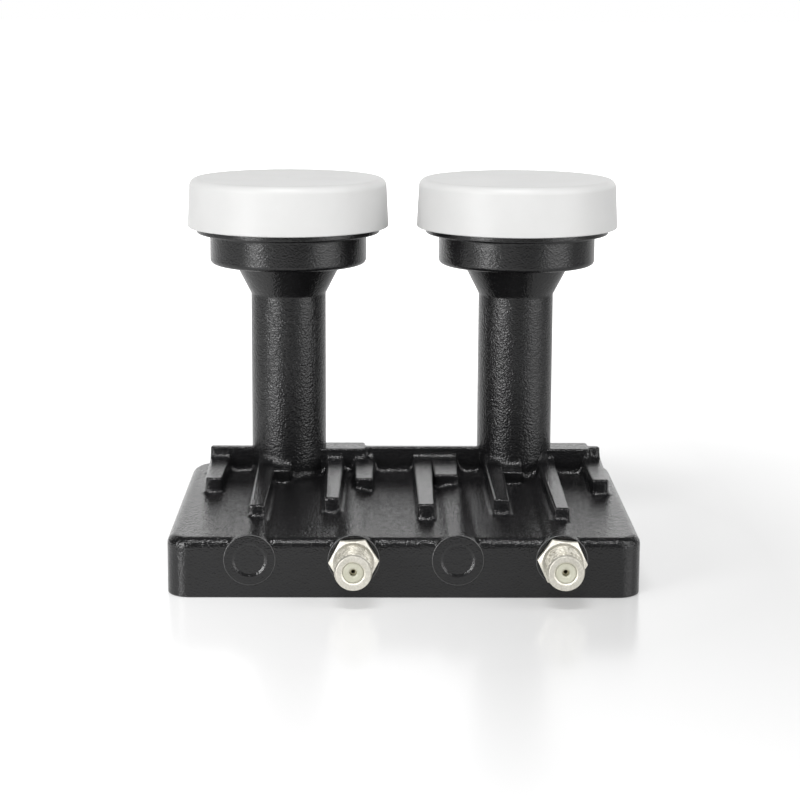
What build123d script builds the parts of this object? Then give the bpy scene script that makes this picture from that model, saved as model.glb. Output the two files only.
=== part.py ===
from build123d import *
import os
from math import sqrt

# Dual-feed satellite LNB. It stands on its flat back, both feeds upright, with the coaxial ports facing -Y.

# Flat body of the casting
body_width = 120.0
body_depth = 84.8
body_height = 15.3
front_corner_radius = 6.0
back_corner_radius = 9.0
top_edge_radius = 2.4
wall_thickness = 2.4
roof_thickness = 2.5

# Feed necks and horns, from the waveguide bore outwards and from the body upwards
neck_spacing = 64.1
waveguide_radius = 8.75
neck_wall = 1.75
neck_back_margin = 1.4
neck_length = 51.5
cone_height = 8.5
cone_flare = 4.4
collar_height = 8.7
collar_edge_radius = 1.3
collar_wall = 2.35
horn_flare = 4.6
choke_wall = 1.6
choke_width = 4.6
choke_depth = 7.0
flange_lip = 3.75
flange_bevel = 0.4

# Caps, with the snap bead and the rubber seal at the flange rim
cap_gap = 1.7
cap_wall = 2.3
cap_roof = 1.6
cap_headroom = 5.65
cap_taper = 0.65
cap_edge_radius = 2.0
cap_rim_bevel = 0.3
cap_clearance = 0.15
bead_rise = 1.4
bead_height = 0.4
bead_width = 0.9
bead_clearance = 0.12
bead_to_seal = 2.2
seal_to_mouth = 2.7
seal_groove_depth = 1.3
seal_groove_width = 1.9
seal_clearance = 0.03

# Cross wall and the two pads beside the necks
cross_wall_width = 111.4
cross_wall_shift = 1.1
cross_wall_thickness = 3.9
cross_wall_height = 6.2
cross_wall_bevel = 0.5
cross_wall_end_radius = 1.8
pad_reach = 21.6
pad_lead = 3.6
pad_depth = 12.1

# Ribs: centre across the body, width, and reach of the front end ahead of the neck axes
ribs_in_plan = (
    (-51.5, 4.6, 24.5),
    (-38.0, 4.1, 52.5),
    (-34.2, 6.2, 12.4),
    (-18.8, 4.0, 47.1),
    (-10.5, 4.8, 26.0),
    (5.9, 4.3, 55.6),
    (11.6, 7.6, 19.0),
    (25.8, 4.1, 47.2),
    (30.3, 6.4, 13.6),
    (40.8, 4.0, 54.6),
    (54.0, 4.5, 28.5),
)
rib_height = 3.6
rib_flare = 1.2
rib_root = 0.5
rib_bevel = 0.5

# Port bosses across the front, each with a ridge running back over the body
port_pitch = 26.2
port_shift = 0.4
boss_radius = 6.6
boss_proud = 0.4
boss_length = 9.0
boss_bevel = 0.25
ridge_blend = 5.0
ridge_root = 1.0
blank_radius = 4.35
blank_depth = 0.35

# Coaxial ports with a 3/8 inch thread and an 11 mm hexagon, each turned home to its own angle
thread_radius = 9.525 / 2
thread_length = 9.1
tip_chamfer = 0.6
hex_flats = 11.0
hex_thickness = 1.8
hex_face_radius = 5.2
hex_bevel = 0.7
hex_turns = (2.3, -5.6)
port_seal_thickness = 0.5
port_seal_radius = 5.3
shank_radius = 4.0
shank_clearance = 0.05
insulator_radius = 2.6
insulator_clearance = 0.05
insulator_recess = 0.3
entry_radius = 0.75
entry_length = 1.5
contact_radius = 1.0
contact_clearance = 0.05
contact_bore_radius = 0.5
contact_bore_depth = 6.0
contact_tail_radius = 0.4
contact_tail = 3.0

# Closure of the underside, from the standing rim upwards
rim_width = 1.0
cover_recess = 0.4
cover_thickness = 1.2
cover_clearance = 0.2
gasket_thickness = 0.5
pillar_radius = 3.0
pillar_setback = 4.6
pillar_clearance = 0.5
screw_radius = 1.25
screw_fit = 0.05
screw_clearance = 0.2
cover_screw_depth = 7.0
cover_head_radius = 2.3

# Circuit board, the shield below it and the parts that the board carries
board_standoff = 1.7
board_thickness = 0.8
board_clearance = 0.4
board_front_gap = 0.6
board_corner_radius = 1.0
probe_width = 2.0
probe_reach = 4.5
shield_gap = 1.8
shield_floor = 1.2
shield_wall = 1.2
shield_setback = 4.2
cup_inset = 0.6
cup_wall = 1.2
column_radius = 2.6
shield_row_inset = 10.5
shield_head_radius = 2.3
shield_head_height = 1.3
shield_screw_depth = 2.8
screw_end_gap = 0.2
chip_size = (5.0, 5.0, 0.9)
chip_lead = 24.0
crystal_size = (3.2, 2.5, 0.8)
crystal_offset = 8.0
transistor_size = (1.6, 1.2, 0.6)
transistor_offset = 4.5
transistor_gap = 3.5
switch_size = (6.0, 5.0, 1.6)
regulator_size = (6.5, 3.5, 1.6)
regulator_setback = 9.8
capacitor_size = (3.2, 1.6, 1.5)
capacitor_pitch = 8.0

# Places that follow from the sizes above
neck_radius = waveguide_radius + neck_wall
neck_setback = body_depth - neck_radius - neck_back_margin
neck_x = neck_spacing / 2
cone_z = body_height + neck_length
cone_top_radius = neck_radius + cone_flare
collar_z = cone_z + cone_height
mouth_radius = waveguide_radius + horn_flare
choke_inner_radius = mouth_radius + choke_wall
choke_outer_radius = choke_inner_radius + choke_width
collar_radius = choke_outer_radius + collar_wall
flange_z = collar_z + collar_height
flange_radius = collar_radius + flange_lip
cap_bottom_z = flange_z + cap_gap
bead_z = cap_bottom_z + bead_rise
seal_z = bead_z + bead_to_seal
horn_top_z = seal_z + seal_to_mouth
cap_inner_radius = flange_radius + cap_clearance
cap_radius = cap_inner_radius + cap_wall
cap_ceiling_z = horn_top_z + cap_headroom
cap_top_z = cap_ceiling_z + cap_roof
hex_back = boss_proud + port_seal_thickness
hex_front = hex_back + hex_thickness
hex_corner_radius = hex_flats / sqrt(3)
port_reach = hex_front + thread_length
insulator_front = insulator_recess - port_reach
contact_front = insulator_front + entry_length
contact_back = boss_length + board_front_gap + contact_tail
front_y = (port_reach - neck_setback - cap_radius) / 2
back_y = front_y + body_depth
neck_y = front_y + neck_setback
roof_z = body_height - roof_thickness
cover_top_z = cover_recess + cover_thickness
ledge_z = cover_top_z + gasket_thickness
board_top_z = roof_z - board_standoff
board_bottom_z = board_top_z - board_thickness
board_front_y = front_y + boss_length + board_front_gap
board_back_y = back_y - wall_thickness - board_clearance
board_width = body_width - 2 * (wall_thickness + board_clearance)
shield_front_y = board_front_y + shield_setback
shield_bottom_z = cover_top_z + shield_gap
cup_radius = waveguide_radius - cup_inset
port_z = board_bottom_z - contact_tail_radius
port_x = [port_shift + (index - 1.5) * port_pitch for index in range(4)]
blank_ports = (port_x[0], port_x[2])
live_ports = {"left": (port_x[1], hex_turns[0]), "right": (port_x[3], hex_turns[1])}
feeds = {"left": -neck_x, "right": neck_x}

front_pillar_inset = front_corner_radius - (front_corner_radius - pillar_setback) / sqrt(2)
back_pillar_inset = back_corner_radius - (back_corner_radius - pillar_setback) / sqrt(2)
pillar_places = [
    (front_pillar_inset - body_width / 2, front_y + front_pillar_inset),
    (body_width / 2 - front_pillar_inset, front_y + front_pillar_inset),
    ((port_x[1] + port_x[2]) / 2, front_y + pillar_setback),
    (back_pillar_inset - body_width / 2, back_y - back_pillar_inset),
    (body_width / 2 - back_pillar_inset, back_y - back_pillar_inset),
    (0, back_y - pillar_setback),
]
shield_rows = (board_front_y + shield_row_inset, board_back_y - shield_row_inset)
shield_screw_places = [(side * neck_x / 2, y) for y in shield_rows for side in (-3, 0, 3)]

os.makedirs("parts", exist_ok=True)


def body_plan(inset):
    """Plan of the body drawn in from its outer faces, with both pairs of rounded corners."""
    with BuildSketch() as plan:
        with Locations((0, front_y + body_depth / 2)):
            Rectangle(body_width - 2 * inset, body_depth - 2 * inset)
        fillet(plan.vertices().group_by(Axis.Y)[0], front_corner_radius - inset)
        fillet(plan.vertices().group_by(Axis.Y)[-1], back_corner_radius - inset)
    return plan.sketch


def board_plan(front):
    """Plan of what lies inside the walls from a given front line back, notched round the pillars."""
    with BuildSketch() as plan:
        with Locations((0, (front + board_back_y) / 2)):
            Rectangle(board_width, board_back_y - front)
        fillet(plan.vertices().group_by(Axis.Y)[0], board_corner_radius)
        back_radius = back_corner_radius - wall_thickness - board_clearance
        fillet(plan.vertices().group_by(Axis.Y)[-1], back_radius)
        with Locations(*pillar_places):
            Circle(pillar_radius + pillar_clearance, mode=Mode.SUBTRACT)
    return plan.sketch


def feed_plane(x):
    """Upright plane through a feed's axis, for profiles drawn as radius and height."""
    return Plane(origin=(x, neck_y, 0), x_dir=(1, 0, 0), z_dir=(0, -1, 0))


def feed_axis(x):
    return Axis((x, neck_y, 0), (0, 0, 1))


def port_plane(x):
    """Upright plane along a port, for profiles drawn as distance behind the front face and radius."""
    return Plane(origin=(x, front_y, port_z), x_dir=(0, 1, 0), z_dir=(1, 0, 0))


def port_axis(x):
    return Axis((x, front_y, port_z), (0, 1, 0))


def front_plane(ahead):
    """Plane parallel to the front face, a given distance ahead of it, drawn in X and Z."""
    return Plane.XZ.offset(ahead - front_y)


# Cross wall with its two pads, bevelled along the top
with BuildPart() as cross_wall:
    with BuildSketch(Plane.XY.offset(body_height - rib_root)) as wall_plan:
        with Locations((cross_wall_shift, neck_y + cross_wall_thickness / 2)):
            Rectangle(cross_wall_width, cross_wall_thickness)
        fillet(wall_plan.vertices().group_by(Axis.X)[-1], cross_wall_end_radius)
        with Locations(*[(x + pad_reach / 2, neck_y - pad_lead + pad_depth / 2) for x in feeds.values()]):
            Rectangle(pad_reach, pad_depth)
    extrude(amount=cross_wall_height + rib_root)
    chamfer(cross_wall.edges().group_by(Axis.Z)[-1], cross_wall_bevel)

# Ribs, a little wider towards the cross wall and bevelled along the top
with BuildPart() as ribs:
    with BuildSketch(Plane.XY.offset(body_height - rib_root)):
        for rib_x, rib_width, rib_reach in ribs_in_plan:
            with BuildLine():
                Polyline(
                    (rib_x - rib_width / 2, neck_y - rib_reach),
                    (rib_x + rib_width / 2, neck_y - rib_reach),
                    (rib_x + (rib_width + rib_flare) / 2, neck_y + cross_wall_thickness / 2),
                    (rib_x - (rib_width + rib_flare) / 2, neck_y + cross_wall_thickness / 2),
                    close=True,
                )
            make_face()
    extrude(amount=rib_height + rib_root)
    chamfer(ribs.edges().group_by(Axis.Z)[-1], rib_bevel)

# Ridges behind the ports, blended into the top of the body
with BuildPart() as ridges:
    with BuildSketch(front_plane(-top_edge_radius)) as ridge_section:
        with Locations((port_shift, body_height - ridge_root / 2)):
            Rectangle(4 * port_pitch, ridge_root)
        with Locations(*[(x, port_z) for x in port_x]):
            Circle(boss_radius)
        with Locations((port_shift, body_height - ridge_root - boss_radius)):
            Rectangle(6 * port_pitch, 2 * boss_radius, mode=Mode.SUBTRACT)
        feet = ridge_section.vertices().group_by(Axis.Y)[-1]
        fillet(feet.sort_by(Axis.X)[1:-1], ridge_blend)
    extrude(amount=top_edge_radius - neck_setback)

# Bosses of the four ports, two of them left blank with a shallow round recess
with BuildPart() as bosses:
    with BuildSketch(front_plane(boss_proud)):
        with Locations(*[(x, port_z) for x in port_x]):
            Circle(boss_radius)
    extrude(amount=-(boss_proud + boss_length))
    chamfer(bosses.faces().group_by(Axis.Y)[0].edges(), boss_bevel)
    with BuildSketch(front_plane(boss_proud)):
        with Locations(*[(x, port_z) for x in blank_ports]):
            Circle(blank_radius)
    extrude(amount=-blank_depth, mode=Mode.SUBTRACT)

# Housing: one casting from the standing rim to the horn mouths, open underneath
with BuildPart() as housing:
    add(body_plan(0))
    extrude(amount=body_height)
    fillet(housing.faces().sort_by(Axis.Z)[-1].edges(), top_edge_radius)
    add(body_plan(wall_thickness))
    extrude(amount=roof_z, mode=Mode.SUBTRACT)
    add(body_plan(rim_width))
    extrude(amount=ledge_z, mode=Mode.SUBTRACT)
    add(ridges.part)
    add(bosses.part)
    add(cross_wall.part)
    add(ribs.part)
    for x in feeds.values():
        with BuildSketch(feed_plane(x)) as horn_profile:
            with BuildLine():
                Polyline(
                    (0, board_top_z),
                    (neck_radius, board_top_z),
                    (neck_radius, cone_z),
                    (cone_top_radius, collar_z),
                    (collar_radius, collar_z),
                    (collar_radius, flange_z),
                    (flange_radius, flange_z),
                    (flange_radius, horn_top_z),
                    (0, horn_top_z),
                    close=True,
                )
            make_face()
            collar_corner = horn_profile.vertices().sort_by_distance((collar_radius, collar_z))[0]
            fillet(collar_corner, collar_edge_radius)
            flange_corner = horn_profile.vertices().sort_by_distance((flange_radius, flange_z))[0]
            chamfer(flange_corner, flange_bevel)
        revolve(axis=feed_axis(x))
    with BuildSketch(Plane.XY.offset(ledge_z)):
        with Locations(*pillar_places):
            Circle(pillar_radius)
    extrude(amount=roof_z - ledge_z)
    with BuildSketch(Plane.XY.offset(cover_top_z)):
        with Locations(*pillar_places):
            Circle(pillar_radius)
        add(body_plan(wall_thickness), mode=Mode.INTERSECT)
    extrude(amount=gasket_thickness)
    with BuildSketch(Plane.XY.offset(board_top_z)):
        with Locations(*shield_screw_places):
            Circle(column_radius)
    extrude(amount=board_standoff)
    for x in feeds.values():
        with BuildSketch(feed_plane(x)):
            with BuildLine():
                Polyline(
                    (0, board_top_z),
                    (waveguide_radius, board_top_z),
                    (waveguide_radius, cone_z),
                    (mouth_radius, horn_top_z),
                    (0, horn_top_z),
                    close=True,
                )
            make_face()
            with Locations(((choke_inner_radius + choke_outer_radius) / 2, horn_top_z - choke_depth / 2)):
                Rectangle(choke_width, choke_depth)
            with Locations((flange_radius, seal_z)):
                Rectangle(2 * seal_groove_depth, seal_groove_width)
            with Locations((flange_radius, bead_z)):
                Rectangle(2 * bead_height, bead_width + 2 * bead_clearance)
        revolve(axis=feed_axis(x), mode=Mode.SUBTRACT)
    with BuildSketch(front_plane(boss_proud)):
        with Locations(*[(x, port_z) for x, turn in live_ports.values()]):
            Circle(shank_radius + shank_clearance)
    extrude(amount=-(boss_proud + boss_length), mode=Mode.SUBTRACT)
    with BuildSketch(Plane.XY.offset(cover_top_z)):
        with Locations(*pillar_places):
            Circle(screw_radius + screw_fit)
    extrude(amount=cover_screw_depth, mode=Mode.SUBTRACT)
    with BuildSketch(Plane.XY.offset(board_top_z)):
        with Locations(*shield_screw_places):
            Circle(screw_radius + screw_fit)
    extrude(amount=shield_screw_depth, mode=Mode.SUBTRACT)
housing.part.label = "housing"
export_step(housing.part, "parts/housing.step")

# Caps: white mouldings pushed over the flanges, held by an inner bead
for side, x in feeds.items():
    with BuildPart() as feed_cap:
        with BuildSketch(feed_plane(x)) as cap_profile:
            with BuildLine():
                Polyline(
                    (0, cap_bottom_z),
                    (cap_radius, cap_bottom_z),
                    (cap_radius - cap_taper, cap_top_z),
                    (0, cap_top_z),
                    close=True,
                )
            make_face()
            rim_corner = cap_profile.vertices().sort_by_distance((cap_radius, cap_bottom_z))[0]
            chamfer(rim_corner, cap_rim_bevel)
            top_corner = cap_profile.vertices().sort_by_distance((cap_radius, cap_top_z))[0]
            fillet(top_corner, cap_edge_radius)
        revolve(axis=feed_axis(x))
        with BuildSketch(feed_plane(x)):
            with Locations((cap_inner_radius / 2, (cap_bottom_z + cap_ceiling_z) / 2)):
                Rectangle(cap_inner_radius, cap_ceiling_z - cap_bottom_z)
        revolve(axis=feed_axis(x), mode=Mode.SUBTRACT)
        with BuildSketch(feed_plane(x)):
            with BuildLine():
                Polyline(
                    (cap_inner_radius, bead_z - bead_width / 2),
                    (cap_inner_radius, bead_z + bead_width / 2),
                    (cap_inner_radius - bead_height, bead_z),
                    close=True,
                )
            make_face()
        revolve(axis=feed_axis(x))
    feed_cap.part.label = f"feed_cap_{side}"
    export_step(feed_cap.part, f"parts/feed_cap_{side}.step")

# Square-cut rubber rings between the flanges and the caps
seal_floor_radius = flange_radius - seal_groove_depth
seal_section = cap_inner_radius - seal_floor_radius - 2 * seal_clearance
for side, x in feeds.items():
    with BuildPart() as cap_seal:
        with BuildSketch(feed_plane(x)):
            with Locations(((cap_inner_radius + seal_floor_radius) / 2, seal_z)):
                Rectangle(seal_section, seal_section)
        revolve(axis=feed_axis(x))
    cap_seal.part.label = f"cap_seal_{side}"
    export_step(cap_seal.part, f"parts/cap_seal_{side}.step")

# Port shells: bevelled hexagon, barrel and shank turned from one bar
shell_bore_radius = insulator_radius + insulator_clearance
for side, (x, turn) in live_ports.items():
    with BuildPart() as port_shell:
        with BuildSketch(front_plane(hex_back)):
            with Locations((x, port_z)):
                RegularPolygon(hex_corner_radius, 6, rotation=turn)
        extrude(amount=hex_thickness)
        with BuildSketch(port_plane(x)):
            with BuildLine():
                Polyline(
                    (-hex_back, 0),
                    (-hex_back, hex_corner_radius),
                    (hex_bevel - hex_front, hex_corner_radius),
                    (-hex_front, hex_face_radius),
                    (-hex_front, 0),
                    close=True,
                )
            make_face()
        revolve(axis=port_axis(x), mode=Mode.INTERSECT)
        with BuildSketch(port_plane(x)):
            with BuildLine():
                Polyline(
                    (-port_reach, 0),
                    (-port_reach, thread_radius - tip_chamfer),
                    (tip_chamfer - port_reach, thread_radius),
                    (-hex_back, thread_radius),
                    (-hex_back, shank_radius),
                    (boss_length, shank_radius),
                    (boss_length, 0),
                    close=True,
                )
            make_face()
        revolve(axis=port_axis(x))
        with BuildSketch(front_plane(port_reach)):
            with Locations((x, port_z)):
                Circle(shell_bore_radius)
        extrude(amount=-(port_reach + boss_length), mode=Mode.SUBTRACT)
    port_shell.part.label = f"port_shell_{side}"
    export_step(port_shell.part, f"parts/port_shell_{side}.step")

# Insulators, with a narrow entry in front of the contact
contact_seat_radius = contact_radius + contact_clearance
for side, (x, turn) in live_ports.items():
    with BuildPart() as port_insulator:
        with BuildSketch(port_plane(x)):
            with BuildLine():
                Polyline(
                    (insulator_front, entry_radius),
                    (insulator_front, insulator_radius),
                    (boss_length, insulator_radius),
                    (boss_length, contact_seat_radius),
                    (contact_front, contact_seat_radius),
                    (contact_front, entry_radius),
                    close=True,
                )
            make_face()
        revolve(axis=port_axis(x))
    port_insulator.part.label = f"port_insulator_{side}"
    export_step(port_insulator.part, f"parts/port_insulator_{side}.step")

# Contacts: a socket for the cable's core, with a thin tail under the board
for side, (x, turn) in live_ports.items():
    with BuildPart() as port_contact:
        with BuildSketch(port_plane(x)):
            with BuildLine():
                Polyline(
                    (contact_front, contact_bore_radius),
                    (contact_front, contact_radius),
                    (boss_length, contact_radius),
                    (boss_length, contact_tail_radius),
                    (contact_back, contact_tail_radius),
                    (contact_back, 0),
                    (contact_front + contact_bore_depth, 0),
                    (contact_front + contact_bore_depth, contact_bore_radius),
                    close=True,
                )
            make_face()
        revolve(axis=port_axis(x))
    port_contact.part.label = f"port_contact_{side}"
    export_step(port_contact.part, f"parts/port_contact_{side}.step")

# Rubber rings between the hexagons and the bosses
for side, (x, turn) in live_ports.items():
    with BuildPart() as port_seal:
        with BuildSketch(front_plane(boss_proud)):
            with Locations((x, port_z)):
                Circle(port_seal_radius)
                Circle(shank_radius + shank_clearance, mode=Mode.SUBTRACT)
        extrude(amount=port_seal_thickness)
    port_seal.part.label = f"port_seal_{side}"
    export_step(port_seal.part, f"parts/port_seal_{side}.step")

# Circuit board, cut away below each feed but for the two probe tongues
with BuildPart() as circuit_board:
    with BuildSketch(Plane.XY.offset(board_bottom_z)):
        add(board_plan(board_front_y))
        with Locations(*[(x, neck_y) for x in feeds.values()]):
            Circle(waveguide_radius, mode=Mode.SUBTRACT)
        with Locations(*[(x, neck_y + waveguide_radius) for x in feeds.values()]):
            Rectangle(2 * waveguide_radius, 2 * waveguide_radius, mode=Mode.SUBTRACT)
        with Locations(*[(x, neck_y - waveguide_radius) for x in feeds.values()]):
            Rectangle(probe_width, 2 * probe_reach)
        with Locations(*[(x - waveguide_radius, neck_y) for x in feeds.values()]):
            Rectangle(2 * probe_reach, probe_width)
        with Locations(*shield_screw_places):
            Circle(screw_radius + screw_clearance, mode=Mode.SUBTRACT)
    extrude(amount=board_thickness)
circuit_board.part.label = "circuit_board"
export_step(circuit_board.part, "parts/circuit_board.step")

# Shield: a shallow cast lid with two back-short cups and a column round each screw
with BuildPart() as inner_shield:
    with BuildSketch(Plane.XY.offset(shield_bottom_z)):
        add(board_plan(shield_front_y))
    extrude(amount=board_bottom_z - shield_bottom_z)
    with BuildSketch(Plane.XY.offset(shield_bottom_z + shield_floor)):
        add(offset(board_plan(shield_front_y), -shield_wall, mode=Mode.PRIVATE))
        with Locations(*[(x, neck_y) for x in feeds.values()]):
            Circle(cup_radius + cup_wall, mode=Mode.SUBTRACT)
        with Locations(*shield_screw_places):
            Circle(column_radius, mode=Mode.SUBTRACT)
        with Locations(*[(x, neck_y) for x in feeds.values()]):
            Circle(cup_radius)
    extrude(amount=board_bottom_z, mode=Mode.SUBTRACT)
    with BuildSketch(Plane.XY.offset(shield_bottom_z)):
        with Locations(*shield_screw_places):
            Circle(screw_radius + screw_clearance)
    extrude(amount=board_bottom_z, mode=Mode.SUBTRACT)
inner_shield.part.label = "inner_shield"
export_step(inner_shield.part, "parts/inner_shield.step")

# Shield screws, driven up from below into the pads of the casting
with BuildPart() as shield_screws:
    with BuildSketch(Plane.XY.offset(shield_bottom_z - shield_head_height)):
        with Locations(*shield_screw_places):
            Circle(shield_head_radius)
    extrude(amount=shield_head_height)
    with BuildSketch(Plane.XY.offset(shield_bottom_z)):
        with Locations(*shield_screw_places):
            Circle(screw_radius)
    extrude(amount=board_top_z - shield_bottom_z + shield_screw_depth - screw_end_gap)
shield_screws.part.label = "shield_screws"
export_step(shield_screws.part, "parts/shield_screws.step")


def board_parts(name, size, places):
    """Like components soldered to the underside of the board."""
    with BuildPart() as components:
        with BuildSketch(Plane.XY.offset(board_bottom_z)):
            with Locations(*places):
                Rectangle(size[0], size[1])
        extrude(amount=-size[2])
    components.part.label = name
    export_step(components.part, f"parts/{name}.step")


chip_y = neck_y - chip_lead
regulator_y = shield_rows[0] + regulator_setback
transistor_y = neck_y - waveguide_radius - transistor_gap
board_parts("converter_chips", chip_size, [(x, chip_y) for x in feeds.values()])
board_parts("crystals", crystal_size, [(x + crystal_offset, chip_y) for x in feeds.values()])
transistor_places = [(x + step * transistor_offset, transistor_y) for x in feeds.values() for step in (-1, 1)]
board_parts("input_transistors", transistor_size, transistor_places)
board_parts("switch_chip", switch_size, [(0, chip_y)])
board_parts("regulator", regulator_size, [(0, regulator_y)])
capacitor_places = [(side * capacitor_pitch * step, regulator_y) for side in (-1, 1) for step in (1, 2, 3)]
board_parts("filter_capacitors", capacitor_size, capacitor_places)

# Cover plate in the recess of the rim, countersunk for its screws
with BuildPart() as cover_plate:
    with BuildSketch(Plane.XY.offset(cover_recess)):
        add(body_plan(rim_width + cover_clearance))
    extrude(amount=cover_thickness)
    for place in pillar_places:
        with BuildSketch(Plane(origin=(*place, 0), x_dir=(1, 0, 0), z_dir=(0, -1, 0))):
            with BuildLine():
                Polyline(
                    (0, cover_recess),
                    (cover_head_radius + screw_clearance, cover_recess),
                    (screw_radius + screw_clearance, cover_top_z),
                    (0, cover_top_z),
                    close=True,
                )
            make_face()
        revolve(axis=Axis((*place, 0), (0, 0, 1)), mode=Mode.SUBTRACT)
cover_plate.part.label = "cover_plate"
export_step(cover_plate.part, "parts/cover_plate.step")

# Gasket on the ledge above the plate
with BuildPart() as cover_gasket:
    with BuildSketch(Plane.XY.offset(cover_top_z)):
        add(body_plan(rim_width + cover_clearance))
        add(body_plan(wall_thickness), mode=Mode.SUBTRACT)
    extrude(amount=gasket_thickness)
cover_gasket.part.label = "cover_gasket"
export_step(cover_gasket.part, "parts/cover_gasket.step")

# Cover screws, flush with the plate
with BuildPart() as cover_screws:
    for place in pillar_places:
        with BuildSketch(Plane(origin=(*place, 0), x_dir=(1, 0, 0), z_dir=(0, -1, 0))):
            with BuildLine():
                Polyline(
                    (0, cover_recess),
                    (cover_head_radius, cover_recess),
                    (screw_radius, cover_top_z),
                    (screw_radius, cover_top_z + cover_screw_depth - screw_end_gap),
                    (0, cover_top_z + cover_screw_depth - screw_end_gap),
                    close=True,
                )
            make_face()
        revolve(axis=Axis((*place, 0), (0, 0, 1)))
cover_screws.part.label = "cover_screws"
export_step(cover_screws.part, "parts/cover_screws.step")
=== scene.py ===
from math import atan2, cos, pi, radians, sin, sqrt, tan
import bmesh
import bpy
from mathutils import Matrix, Vector


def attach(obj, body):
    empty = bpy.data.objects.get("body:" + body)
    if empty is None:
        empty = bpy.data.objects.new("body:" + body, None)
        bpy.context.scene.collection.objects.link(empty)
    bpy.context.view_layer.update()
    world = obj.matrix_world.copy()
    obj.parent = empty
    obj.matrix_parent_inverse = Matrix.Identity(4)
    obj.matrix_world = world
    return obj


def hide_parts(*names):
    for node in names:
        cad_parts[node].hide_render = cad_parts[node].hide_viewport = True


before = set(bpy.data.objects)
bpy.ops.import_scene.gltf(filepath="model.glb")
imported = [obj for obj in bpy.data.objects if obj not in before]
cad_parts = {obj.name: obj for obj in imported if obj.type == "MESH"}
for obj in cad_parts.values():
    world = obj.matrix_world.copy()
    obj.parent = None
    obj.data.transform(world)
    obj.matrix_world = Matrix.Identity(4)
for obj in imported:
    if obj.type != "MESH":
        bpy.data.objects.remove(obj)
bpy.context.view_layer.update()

# Body of the housing: the flat shell of one aluminium pressure die casting, open underneath.
# Its walls carry the ledge for the back plate, and its outer edges are rounded for the coat.
mm = 0.001
front_y, back_y, half_width, roof = -44.6, 40.2, 60.0, 15.3
front_corner, back_corner, roof_edge, wall = 6.0, 9.0, 2.4, 2.4
rim_width, ledge_z, ceiling = 1.0, 2.1, 12.8
smooth_angle = radians(32)


def eased(corners, closed=True, steps=6, hold=0.12):
    """Points along a line whose corners (x, y, radius) are rounded, with a point held just off each arc."""
    line = []
    for k, (x, y, radius) in enumerate(corners):
        corner = Vector((x, y))
        if radius == 0 or (not closed and k in (0, len(corners) - 1)):
            line.append(tuple(corner))
            continue
        back_way = (Vector(corners[k - 1][:2]) - corner).normalized()
        on_way = (Vector(corners[(k + 1) % len(corners)][:2]) - corner).normalized()
        half = back_way.angle(on_way) / 2
        reach = radius / tan(half)
        middle = corner + (back_way + on_way).normalized() * (radius / sin(half))
        arm = corner + back_way * reach - middle
        turn = pi - 2 * half
        if back_way.x * on_way.y - back_way.y * on_way.x > 0:
            turn = -turn
        line.append(tuple(corner + back_way * (reach + hold)))
        for step in range(steps + 1):
            angle = turn * step / steps
            line.append((middle.x + arm.x * cos(angle) - arm.y * sin(angle),
                         middle.y + arm.x * sin(angle) + arm.y * cos(angle)))
        line.append(tuple(corner + on_way * (reach + hold)))
    return line


def loft(rings):
    """Skin over closed rings of points, the end rings filled."""
    count = len(rings[0])
    points = [point for ring in rings for point in ring]
    faces = [tuple(reversed(range(count))), tuple(range(len(points) - count, len(points)))]
    for row in range(len(rings) - 1):
        for k in range(count):
            n = (k + 1) % count
            faces.append((row * count + k, row * count + n, (row + 1) * count + n, (row + 1) * count + k))
    return points, faces


def solid(name, parts):
    """One piece from parts in millimetres, each with its doubles merged and its faces turned outwards."""
    whole = bmesh.new()
    for points, faces in parts:
        part = bmesh.new()
        corners = [part.verts.new(Vector(point) * mm) for point in points]
        for face in faces:
            part.faces.new([corners[k] for k in face])
        bmesh.ops.remove_doubles(part, verts=part.verts, dist=1e-7)
        bmesh.ops.recalc_face_normals(part, faces=part.faces)
        held = bpy.data.meshes.new("held")
        part.to_mesh(held)
        part.free()
        whole.from_mesh(held)
        bpy.data.meshes.remove(held)
    mesh = bpy.data.meshes.new(name)
    whole.to_mesh(mesh)
    whole.free()
    mesh.shade_smooth()
    mesh.set_sharp_from_angle(angle=smooth_angle)
    piece = bpy.data.objects.new(name, mesh)
    bpy.context.scene.collection.objects.link(piece)
    return piece


def body_ring(inset, z):
    """Outline of the body at a height, drawn in from its sides."""
    left, right = inset - half_width, half_width - inset
    plan = eased((
        (left, front_y + inset, front_corner - inset), (right, front_y + inset, front_corner - inset),
        (right, back_y - inset, back_corner - inset), (left, back_y - inset, back_corner - inset)), steps=12)
    return [(x, y, z) for x, y in plan]


section = eased((
    (wall, ceiling, 0), (wall, ledge_z, 0), (rim_width, ledge_z, 0), (rim_width, 0.0, 0.15), (0.0, 0.0, 0.35),
    (0.0, roof, roof_edge), (4.0, roof, 0)), closed=False, steps=8)
body_shell = loft([body_ring(inset, z) for inset, z in section])

# Port ridges and bosses of the same casting: a round boss at each of four ports, drawn back over the
# body as a half-round ridge with soft flanks. Two bosses are blank, with a shallow round recess.
port_z, port_pitch, port_shift = 9.9, 26.2, 0.4
port_x = [port_shift + (k - 1.5) * port_pitch for k in range(4)]
boss_radius, boss_proud, boss_depth, boss_bore = 6.6, 0.4, 8.6, 4.05
flank_front, flank_back = 1.4, 5.0
neck_y = 28.3


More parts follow.
